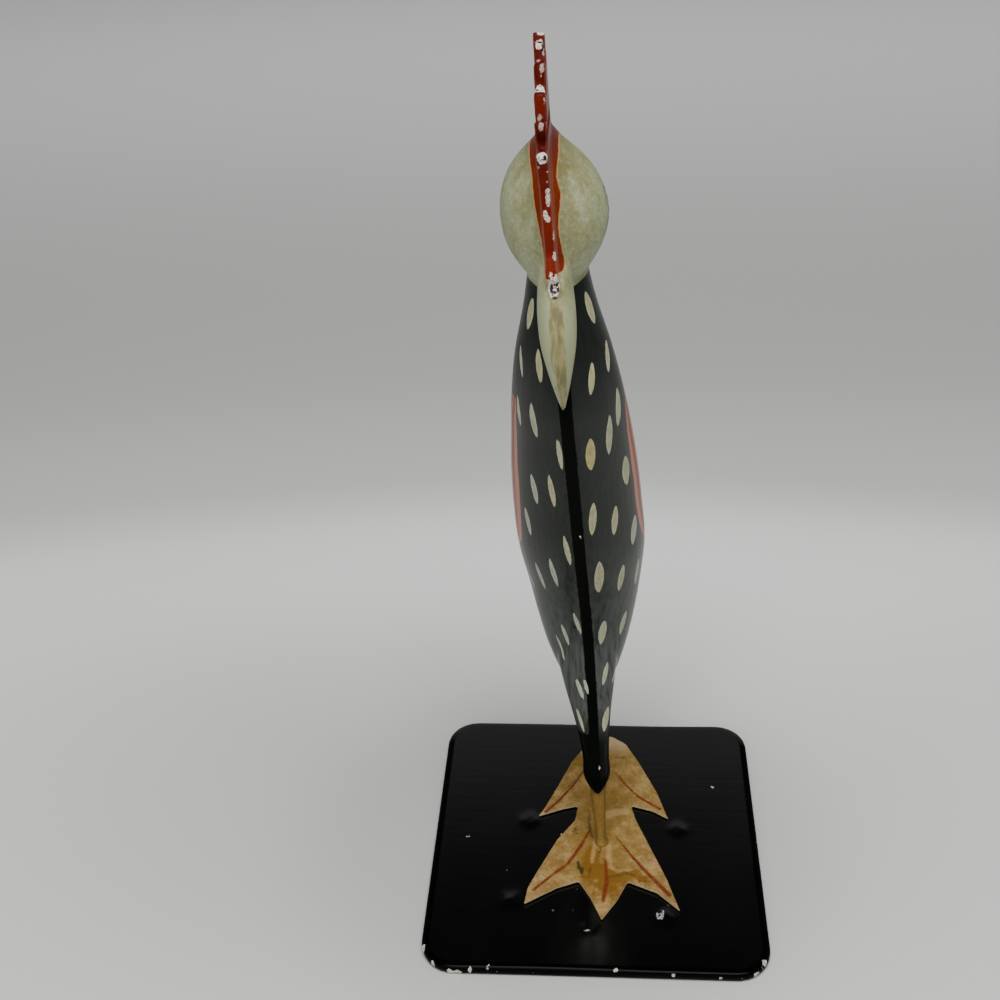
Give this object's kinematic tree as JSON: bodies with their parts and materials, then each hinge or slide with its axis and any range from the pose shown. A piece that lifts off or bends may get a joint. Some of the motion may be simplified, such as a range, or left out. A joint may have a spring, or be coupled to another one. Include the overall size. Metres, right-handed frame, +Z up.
{
  "type": "metal rooster figurine",
  "caption": "Slender painted metal rooster with a tall comb, standing on webbed feet cut from sheet, on a square metal plate with rounded corners.",
  "frame": {"origin": "centre of the base plate's underside", "axes": "+Z up along the figure, -Y the way the bird faces, +X to its left as it looks ahead"},
  "size_m": [0.1, 0.1, 0.2491],
  "materials": {
    "base_paint": "satin black paint, worn to a white primer along the edges",
    "feet_paint": "mottled tan paint with orange-red toe lines",
    "rooster_paint": "satin dark grey paint with cream brush marks, pale green head and red comb"
  },
  "bodies": {
    "root": {"base_plate": "base_paint", "webbed_feet": "feet_paint", "rooster": "rooster_paint"}
  },
  "joints": []
}
